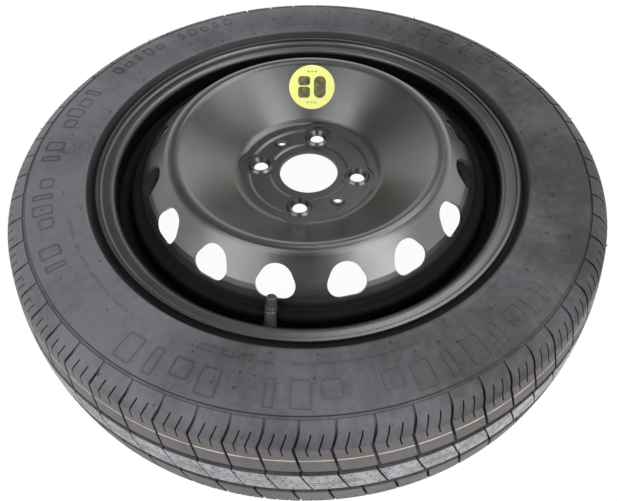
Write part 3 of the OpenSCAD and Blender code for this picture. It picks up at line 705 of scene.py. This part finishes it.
PATH = tyre_path()


def nearest_row(r, h):
    return min(range(len(PATH)), key=lambda k: (PATH[k] - Vector((r, h))).length)


CHANNEL_ROW = nearest_row(SHOULDER_R, SHOULDER_H)
CREASE_ROW = nearest_row(crown(TREAD_HALF), TREAD_HALF)
GUARD_ROW = nearest_row(GUARD_R + 4, MID_Z - 2.6)


def from_channel(row):
    """Distance of a row from the channel, along the shoulder."""
    return sum((PATH[k + 1] - PATH[k]).length for k in range(row, CHANNEL_ROW))


SIPE_ROW = min(range(CREASE_ROW, CHANNEL_ROW), key=lambda k: abs(from_channel(k) - SIPE_FROM_CHANNEL))


def outward(path, row):
    """Direction away from the rubber at a row of a path."""
    way = (path[min(row + 1, len(path) - 1)] - path[max(row - 1, 0)]).normalized()
    return Vector((way.y, -way.x))


def block_angle(i):
    """Angle of the cross groove number i, in radians."""
    a = i * PITCH
    swing = PITCH_SWING * math.sin(math.radians(SWING_WAVES * a + SWING_START))
    return math.radians(BLOCK_START + a + swing)


def round_the_wheel(path, shear):
    """Turns a flat point of pitch i, (along the tread, row, depth), into its place on the wheel."""
    outwards = [outward(path, row) for row in range(len(path))]

    def place(i, point):
        row = round(point.y)
        side = 1 if point.x > 0 else -1
        half = abs(block_angle(i + side) - block_angle(i)) / 2
        r, h = path[row] + outwards[row] * point.z
        angle = block_angle(i) + point.x / HALF_PITCH * half + shear(path[row].y) / path[row].x
        return Vector((r * math.cos(angle), r * math.sin(angle), MID_Z + h)) * MM
    return place


def flat_cell(columns, rows, is_cut, depth):
    """One pitch laid flat, with columns at x and rows numbered along y, and its cuts pressed in."""
    bpy.ops.mesh.primitive_grid_add(
        x_subdivisions=len(columns) - 1, y_subdivisions=rows - 1, size=1)
    cell = bpy.context.active_object
    moved(cell, lambda p: Vector((
        columns[round((p.x + 0.5) * (len(columns) - 1))], round((p.y + 0.5) * (rows - 1)), 0)))
    start_edit(cell)
    pick(cell, "faces", lambda face: is_cut(*face.calc_center_median().xy))
    bpy.ops.mesh.extrude_region_move(TRANSFORM_OT_translate={"value": (0, 0, -1)})

    def is_end_wall(face):
        at_side = all(abs(abs(v.co.x) - columns[-1]) < TINY for v in face.verts)
        return at_side or any(all(abs(v.co.y - y) < TINY for v in face.verts) for y in (0, rows - 1))

    pick(cell, "faces", is_end_wall)
    bpy.ops.mesh.delete(type="FACE")
    end_edit()
    return moved(cell, lambda p: Vector((p.x, p.y, -depth(p.x, round(p.y)) if p.z < -0.5 else 0)))


def ring_of(cell, place, name):
    """Copies a flat cell round the wheel as one mesh."""
    ring = [moved(copied(cell), lambda p, i=i: place(i, p)) for i in range(BLOCKS)]
    bpy.data.objects.remove(cell)
    ring = joined(ring, name)
    weld(ring)
    return ring


def shoulder_cell():
    """A pitch from the wide groove to the cavity: cross groove, two sipes and the shallow channel."""
    look = bpy.context.scene.tyre_look
    sipe_at = 2 * HALF_PITCH / 3
    sipe_half = look.sipe_width / MM / 2
    sipe_depth = look.sipe_depth / MM
    channel = look.channel_depth / MM
    right = [CROSS_HALF, sipe_at / 2, sipe_at - sipe_half, sipe_at + sipe_half, HALF_PITCH]
    columns = [-x for x in reversed(right)] + right
    sipe_end = len(TREAD_ROWS) - 2

    def is_cut(x, y):
        in_sipe = abs(abs(x) - sipe_at) < sipe_half and sipe_end < y < SIPE_ROW
        return y < 1 or abs(x) < CROSS_HALF and y < CHANNEL_ROW or in_sipe or (
            CHANNEL_ROW < y < CHANNEL_ROW + 1)

    def depth(x, row):
        if row >= CHANNEL_ROW:
            return channel
        if abs(x) < CROSS_HALF + TINY and row > 0:
            reach = min(1, from_channel(row) / CROSS_RAMP)
            return channel + (CROSS_DEPTH - channel) * reach * reach
        if row <= 1:
            return WIDE_DEPTH
        return sipe_depth * (0.4 if row in (sipe_end, SIPE_ROW) else 1)

    return flat_cell(columns, len(PATH), is_cut, depth)


def shoulder_shear(h):
    """Shift of the pattern round the wheel at a height, which makes its grooves zigzag."""
    if h < TREAD_HALF:
        return (TREAD_HALF - h) * math.tan(CROSS_SLANT) + CREASE_OFFSET
    return CREASE_OFFSET * max(0, KINK_H - h) / (KINK_H - TREAD_HALF)


def middle_cell(rows):
    """A pitch of the two middle ribs with their slanted cut, the thin groove and the wide grooves."""
    right = [RIB_CUT_HALF, HALF_PITCH / 2, HALF_PITCH]
    columns = [-x for x in reversed(right)] + right
    last = len(rows) - 1
    middle = last / 2

    def is_cut(x, y):
        return y < 1 or y > last - 1 or abs(x) < RIB_CUT_HALF or abs(y - middle) < 0.5

    def depth(x, row):
        return WIDE_DEPTH if row < 2 or row > last - 2 else CENTRE_DEPTH

    return flat_cell(columns, len(rows), is_cut, depth)


def bridge(obj, wanted):
    """Closes the gap between two open rims of the mesh whose edges wanted picks."""
    start_edit(obj, "EDGE")
    pick(obj, "edges", lambda edge: edge.is_boundary and all(wanted(v.co) for v in edge.verts))
    bpy.ops.mesh.bridge_edge_loops()
    end_edit()


def build_tyre():
    """The tyre as one closed shell with its tread pattern."""
    near = ring_of(shoulder_cell(), round_the_wheel(PATH, shoulder_shear), "tyre_near")
    far = copied(near)
    middle = Matrix.Translation((0, 0, MID_Z * MM))
    turn = middle @ Matrix.Rotation(math.pi, 4, "X") @ middle.inverted()
    moved(far, lambda p: turn @ p)

    inner = WIDE_AT - WIDE_HALF
    rib_rows = [WIDE_AT - FLOOR_HALF, inner, inner / 2, CENTRE_HALF]
    heights = [-h for h in rib_rows] + rib_rows[::-1]
    rib_path = [Vector((crown(h), h)) for h in heights]
    ribs = ring_of(
        middle_cell(rib_path),
        round_the_wheel(rib_path, lambda h: RIB_OFFSET - h * math.tan(RIB_SLANT)), "tyre_ribs")

    tyre = joined([near, far, ribs], "tyre_moulded")

    def height(p):
        return p.z / MM - MID_Z

    def radius(p):
        return p.xy.length / MM

    outer = CAVITY_R + 3
    for side in (-1, 1):
        bridge(tyre, lambda p: radius(p) > outer and side * height(p) > WIDE_AT - WIDE_HALF)
    bridge(tyre, lambda p: radius(p) < outer and abs(height(p)) < CAVITY_END + 1)
    weld(tyre)
    return tyre


def sidewall_height(r):
    """Height of the sidewall's surface at a radius, between guard rib and channel."""
    for k in range(CHANNEL_ROW + 1, GUARD_ROW):
        outer, inner = PATH[k], PATH[k + 1]
        if inner.x <= r <= outer.x:
            share = (outer.x - r) / max(outer.x - inner.x, TINY)
            return outer.y + (inner.y - outer.y) * share
    return PATH[GUARD_ROW].y


def on_sidewall(obj, angle, radius, side=1):
    """Bends a flat shape, in millimetres, onto the sidewall with its Y pointing outwards."""
    def place(p):
        r = radius + p.y
        a = angle - side * p.x / radius
        h = side * (sidewall_height(r) + p.z)
        return Vector((r * math.cos(a), r * math.sin(a), MID_Z + h)) * MM
    return moved(obj, place)


def outlined_box(width, height, x, y):
    """A flat rounded outline in relief, cut across so that it can bend with the sidewall."""
    look = bpy.context.scene.moulding_look
    sunk = 0.4
    bpy.ops.mesh.primitive_plane_add(size=1)
    box = bpy.context.active_object
    moved(box, lambda p: Vector((p.x * width, p.y * height, -sunk)))
    start_edit(box, "VERT")
    bpy.ops.mesh.select_all(action="SELECT")
    bpy.ops.mesh.bevel(offset=min(width, height) * 0.14, segments=2, affect="VERTICES")
    bpy.ops.mesh.select_mode(type="FACE")
    bpy.ops.mesh.select_all(action="SELECT")
    bpy.ops.mesh.inset(thickness=look.stroke / MM)
    bpy.ops.mesh.delete(type="FACE")
    cuts = int(height // 4)
    for k in range(1, cuts):
        bpy.ops.mesh.select_all(action="SELECT")
        bpy.ops.mesh.bisect(plane_co=(0, height * (k / cuts - 0.5), 0), plane_no=(0, 1, 0))
    bpy.ops.mesh.select_all(action="SELECT")
    bpy.ops.mesh.extrude_region_move(
        TRANSFORM_OT_translate={"value": (0, 0, sunk + look.relief / MM)})
    end_edit()
    return moved(box, lambda p: p + Vector((x, y, 0)))


FIGURES = {"0": (1, 1), "1": (0.5, 1), "2": (1, 0.7)}


def figure_row(start, end, radius, width, height, order, side=1):
    """Outlined blocks side by side, from one angle to another in degrees; _ leaves a gap."""
    row = []
    for k, key in enumerate(order):
        if key == "_":
            continue
        across, tall = FIGURES[key]
        figure = outlined_box(width * across, height * tall, 0, height * (tall - 1) / 2)
        angle = start + (end - start) * k / (len(order) - 1)
        row.append(on_sidewall(figure, math.radians(angle), radius, side))
    return row


def build_figures():
    """Plain moulded blocks where such a tyre carries its large lettering."""
    figures = []
    figures += figure_row(236, 321, 251, 16, 23, "0120_102_20101202")
    figures += figure_row(156, 211, 251, 12, 18, "1202_01_2102_01")
    figures += figure_row(30, 62, 252, 14, 20, "201021")
    figures += figure_row(112, 146, 252, 9, 13, "01201_20120")
    figures += figure_row(60, 118, 225.5, 7, 7, "0120120_10210", side=-1)
    figures = joined(figures, "sidewall_figures")
    weld(figures)
    return figures


def build_dashes():
    """Short moulded dashes in place of the small print beside the rim."""
    look = bpy.context.scene.moulding_look
    rows = [
        (200, 232, 229, 3.2, 42), (246, 263, 227, 2.6, 30), (246, 259, 222.5, 2.4, 22),
        (266, 292, 226, 2.6, 46), (318, 349, 229, 3.0, 44), (60, 96, 228, 3.0, 46),
    ]
    lengths = random.Random(11)
    dashes = []
    for start, end, radius, height, count in rows:
        for k in range(count):
            if lengths.random() < 0.16:
                continue
            bpy.ops.mesh.primitive_plane_add(size=1)
            dash = bpy.context.active_object
            width = lengths.uniform(0.5, 1.1)
            tall = height * lengths.choice((1, 1, 0.7))
            moved(dash, lambda p: Vector((p.x * width, p.y * tall, -0.2)))
            start_edit(dash)
            bpy.ops.mesh.select_all(action="SELECT")
            bpy.ops.mesh.extrude_region_move(
                TRANSFORM_OT_translate={"value": (0, 0, 0.2 + look.relief / MM * 0.6)})
            end_edit()
            angle = start + (end - start) * k / count
            dashes.append(on_sidewall(dash, math.radians(angle), radius))
    dashes = joined(dashes, "sidewall_dashes")
    weld(dashes)
    return dashes


def build_hairs():
    """Thin rubber hairs that the vents of the mould leave on sidewall and shoulder."""
    look = bpy.context.scene.moulding_look
    length = look.hair_length
    bpy.ops.mesh.primitive_cone_add(vertices=5, radius1=0.5 * MM, radius2=0.28 * MM, depth=length)
    hair = bpy.context.active_object
    moved(hair, lambda p: p + Vector((0, 0, length / 2 - 0.3 * MM)))
    start_edit(hair)
    for share in (0.33, 0.66):
        bpy.ops.mesh.select_all(action="SELECT")
        bpy.ops.mesh.bisect(plane_co=(0, 0, length * share), plane_no=(0, 0, 1))
    end_edit()
    moved(hair, lambda p: p + Vector((0.35 * p.z * p.z / length, 0, 0)))
    chance = random.Random(5)
    shoulder = range(CREASE_ROW + 1, CHANNEL_ROW - 1)
    sidewall = range(CHANNEL_ROW + 3, GUARD_ROW)
    hairs = []
    for number in range(look.hair_count):
        side = 1 if number % 4 else -1
        row = chance.choice(shoulder if number % 5 == 0 else sidewall)
        angle = chance.uniform(0, math.tau)
        out = outward(PATH, row)
        away = Vector((out.x * math.cos(angle), out.x * math.sin(angle), side * out.y))
        if side < 0 and out.y > 0.9:
            continue
        spin = Matrix.Rotation(chance.uniform(0, math.tau), 4, "Z")
        lean = Matrix.Rotation(chance.uniform(0.1, 0.7), 4, "X")
        foot = Vector((
            PATH[row].x * math.cos(angle), PATH[row].x * math.sin(angle), MID_Z + side * PATH[row].y)) * MM
        place = Matrix.Translation(foot) @ away.to_track_quat("Z", "Y").to_matrix().to_4x4() @ spin @ lean
        grown = chance.uniform(0.6, 1.15)
        hairs.append(moved(copied(hair), lambda p: place @ (p * grown)))
    bpy.data.objects.remove(hair)
    return joined(hairs, "mould_hairs")


# Valve

def valve_place():
    """Turns a point in millimetres along the valve's own axis into its place on the wheel."""
    joint = next(j for j in frame["joints"] if j["name"] == "cap_turn")
    axis = Vector(joint["axis"]).normalized()
    foot = Vector(joint["pos_m"]) - axis * TUBE_TOP * MM
    turn = axis.to_track_quat("Z", "Y").to_matrix()
    return lambda p: foot + turn @ p * MM


def build_tube():
    """The valve's brass tube with its outer thread."""
    root = THREAD_R - 0.43
    tube = lathe("tube", [
        (AIR_R, -5.7), (TUBE_R, -5.7), (TUBE_R, 18.5), (root, 19.2), (root, TUBE_TOP - 0.35),
        (root - 0.2, TUBE_TOP), (CORE_R + 0.3, TUBE_TOP), (CORE_R, TUBE_TOP - 0.3), (CORE_R, 26.6),
        (AIR_R, 24.8),
    ], 48)
    tooth = bpy.data.meshes.new("thread")
    flank = [(root - 0.02, 0), (THREAD_R, 0.36), (THREAD_R, 0.44), (root - 0.02, THREAD_PITCH)]
    tooth.from_pydata([(r, 0, h) for r, h in flank], [(0, 1), (1, 2), (2, 3)], [])
    thread = bpy.data.objects.new("thread", tooth)
    bpy.context.scene.collection.objects.link(thread)
    only(thread)
    screw = thread.modifiers.new("turns", "SCREW")
    screw.axis = "Z"
    screw.screw_offset = THREAD_PITCH
    screw.iterations = THREAD_TURNS
    screw.steps = screw.render_steps = 32
    screw.use_merge_vertices = True
    bpy.ops.object.modifier_apply(modifier=screw.name)
    moved(thread, lambda p: p + Vector((0, 0, THREAD_FROM)))
    piece = joined([tube, thread], "valve_tube_threaded")
    weld(piece)
    return moved(piece, valve_place())


def build_cap_rim():
    """The low rim and the moulding dimple on the top of the cap."""
    out = CAP_TOP_R - 0.75
    rim = lathe("cap_rim", [
        (out, CAP_TOP - 0.3), (out, CAP_TOP + 0.12), (out - 0.25, CAP_TOP + 0.3),
        (out - 0.95, CAP_TOP + 0.3), (out - 1.15, CAP_TOP + 0.12), (out - 1.15, CAP_TOP - 0.3),
    ], 40)
    weld(rim)
    rim.name = rim.data.name = "cap_top_rim"
    return moved(rim, valve_place())


# Stage

def plain_floor():
    """Pale floor that the lens sees as near white, with a soft shadow left in it."""
    look = bpy.context.scene.studio_look
    material = bpy.data.materials.new("studio floor")
    material.use_nodes = True
    tree = material.node_tree
    tree.nodes.clear()
    w = Wiring(tree)
    rays = w.add("ShaderNodeLightPath").outputs
    seen = w.math("MAXIMUM", rays["Is Camera Ray"], w.math(
        "MAXIMUM", rays["Is Glossy Ray"], rays["Is Transmission Ray"]))
    dull = w.add("ShaderNodeBsdfDiffuse", {"Color": (*look.floor, 1)}).outputs[0]
    white = w.add("ShaderNodeEmission", {"Color": (1, 1, 1, 1), "Strength": 1.0}).outputs[0]
    both = w.add("ShaderNodeMixShader", {0: w.math("MULTIPLY", seen, 0.96), 1: dull, 2: white})
    w.add("ShaderNodeOutputMaterial", {"Surface": both.outputs[0]})
    return material


def studio_world():
    """A room with bright low walls, a dim ceiling and a dark place behind the camera."""
    world = bpy.data.worlds.new("studio")
    world.use_nodes = True
    world.node_tree.nodes.clear()
    w = Wiring(world.node_tree)
    way = w.add("ShaderNodeTexCoord").outputs["Object"]
    parts = w.add("ShaderNodeSeparateXYZ", {0: way}).outputs
    glow = w.add("ShaderNodeMapRange", {
        "Value": parts["Z"], "From Min": 0.3, "From Max": 0.62, "To Min": 2.0, "To Max": 0.28}).outputs[0]
    middle = w.band(parts["X"], -0.42, 0.42, 0.16)
    front = w.math("MULTIPLY", w.math("SUBTRACT", -0.15, parts["Y"]), 5.0, clamp=True)
    dark = w.math("MULTIPLY", w.math("MULTIPLY", middle, front), 0.9)
    uneven = w.math("MULTIPLY_ADD", parts["X"], 0.18, 1.0)
    strength = w.math("MULTIPLY", w.math("MULTIPLY", glow, uneven), w.math("SUBTRACT", 1.0, dark))
    room = w.add("ShaderNodeBackground", {"Color": (0.98, 0.98, 1, 1), "Strength": strength})
    w.add("ShaderNodeOutputWorld", {"Surface": room.outputs[0]})
    bpy.context.scene.world = world


def soft_lamp(name, place, aim, size, power):
    """A large soft lamp that shines from place towards aim."""
    way = Vector(aim) - Vector(place)
    bpy.ops.object.light_add(type="AREA", location=place)
    lamp = bpy.context.active_object
    lamp.name = name
    lamp.rotation_euler = way.to_track_quat("-Z", "Y").to_euler()
    lamp.data.shape = "RECTANGLE"
    lamp.data.size, lamp.data.size_y = size
    lamp.data.energy = power


def place_camera():
    """The photograph's view of the wheel."""
    look = bpy.context.scene.studio_look
    back = Vector((0, -math.cos(look.elevation), math.sin(look.elevation)))
    view = -back
    right = Vector((1, 0, 0))
    up = right.cross(view)
    turn = Matrix.Rotation(look.turn, 3, up)
    view, right = turn @ view, turn @ right
    tilt = Matrix.Rotation(look.tilt, 3, right)
    view, up = tilt @ view, tilt @ up
    roll = Matrix.Rotation(look.roll, 3, view)
    right, up = roll @ right, roll @ up
    bpy.ops.object.camera_add(location=back * look.distance + Vector((0, 0, LIP_PLANE_Z)))
    camera = bpy.context.active_object
    camera.rotation_euler = Matrix((right, up, -view)).transposed().to_euler()
    camera.data.sensor_width = 36
    camera.data.lens = look.focal
    camera.data.shift_x = (PHOTO_W / 2 - LENS_AXIS[0]) / PHOTO_W
    camera.data.shift_y = (LENS_AXIS[1] - PHOTO_H / 2) / PHOTO_W
    bpy.context.scene.camera = camera


# Operators

class SPARE_OT_stage(bpy.types.Operator):
    """Lay the floor, light the room and set the camera"""
    bl_idname = "spare.stage"
    bl_label = "Set the stage"

    def execute(self, context):
        look = context.scene.studio_look
        context.scene.view_settings.view_transform = "Standard"
        bpy.ops.object.select_all(action="DESELECT")
        bpy.ops.mesh.primitive_plane_add(size=12)
        floor = context.active_object
        floor.name = "studio_floor"
        floor.data.materials.append(plain_floor())
        studio_world()
        middle = (0, 0, MID_Z * MM)
        soft_lamp("left lamp", (-0.86, -0.72, 1.0), middle, (0.9, 1.7), look.left_power)
        soft_lamp("right lamp", (0.77, -0.80, 1.0), middle, (0.8, 1.6), look.right_power)
        soft_lamp("top lamp", (0.5, 0.45, 1.45), middle, (1.1, 0.6), look.top_power)
        place_camera()
        return {"FINISHED"}


class SPARE_OT_tyre(bpy.types.Operator):
    """Mould the tyre with its tread, its sipes and its channel"""
    bl_idname = "spare.tyre"
    bl_label = "Mould the tyre"

    def execute(self, context):
        ready(build_tyre(), tyre_rubber(), "wheel", replaced=["tyre"])
        return {"FINISHED"}


class SPARE_OT_moulding(bpy.types.Operator):
    """Add the moulded figures, dashes and hairs of the sidewalls"""
    bl_idname = "spare.moulding"
    bl_label = "Add sidewall moulding"

    def execute(self, context):
        look = context.scene.tyre_look
        moulded = plain_rubber("moulded rubber", look.rubber, look.bloom)
        hair = plain_rubber("hair rubber", (0.008, 0.008, 0.009), (0.018, 0.018, 0.019))
        for piece, rubber in (
                (build_figures(), moulded), (build_dashes(), moulded), (build_hairs(), hair)):
            ready(piece, rubber, "wheel")
        return {"FINISHED"}


class SPARE_OT_wheel(bpy.types.Operator):
    """Paint rim, disc and welds"""
    bl_idname = "spare.wheel"
    bl_label = "Paint the wheel"

    def execute(self, context):
        repaint(["rim", "disc", "weld_seams"], wheel_paint())
        return {"FINISHED"}


class SPARE_OT_valve(bpy.types.Operator):
    """Cut the valve's thread and finish its pieces"""
    bl_idname = "spare.valve"
    bl_label = "Finish the valve"

    def execute(self, context):
        brass = turned_brass()
        cap = cap_plastic()
        ready(build_tube(), brass, "wheel", replaced=["valve_tube"])
        ready(build_cap_rim(), cap, "valve_cap")
        repaint(["valve_rubber", "core_cup_seal", "cap_seal"], stem_rubber())
        repaint(["core_barrel", "core_pin", "core_cup"], brass)
        repaint(["core_spring"], spring_wire())
        repaint(["core_seal"], seal_plastic())
        repaint(["valve_cap"], cap)
        return {"FINISHED"}


class SPARE_OT_label(bpy.types.Operator):
    """Print the round label in the dish"""
    bl_idname = "spare.label"
    bl_label = "Print the label"

    def execute(self, context):
        repaint(["label"], label_film())
        return {"FINISHED"}


LOOKS = {
    "tyre_look": TyreLook, "moulding_look": MouldingLook, "wheel_look": WheelLook,
    "label_look": LabelLook, "studio_look": StudioLook,
}
STEPS = (SPARE_OT_stage, SPARE_OT_tyre, SPARE_OT_moulding, SPARE_OT_wheel, SPARE_OT_valve, SPARE_OT_label)


class SPARE_PT_panel(bpy.types.Panel):
    """Lists the wheel's looks and the steps that build it"""
    bl_label = "Spare wheel"
    bl_idname = "SPARE_PT_panel"
    bl_space_type = "VIEW_3D"
    bl_region_type = "UI"
    bl_category = "Spare wheel"

    def draw(self, context):
        for name, group in LOOKS.items():
            box = self.layout.box()
            for setting in group.__annotations__:
                box.prop(getattr(context.scene, name), setting)
        for step in STEPS:
            self.layout.operator(step.bl_idname)


CLASSES = (*LOOKS.values(), *STEPS, SPARE_PT_panel)


def register():
    for made in CLASSES:
        bpy.utils.register_class(made)
    for name, group in LOOKS.items():
        setattr(bpy.types.Scene, name, bpy.props.PointerProperty(type=group))


def unregister():
    for name in LOOKS:
        delattr(bpy.types.Scene, name)
    for made in reversed(CLASSES):
        bpy.utils.unregister_class(made)


def main():
    register()
    bpy.ops.spare.stage()
    bpy.ops.spare.tyre()
    bpy.ops.spare.moulding()
    bpy.ops.spare.wheel()
    bpy.ops.spare.valve()
    bpy.ops.spare.label()


if __name__ == "__main__":
    main()
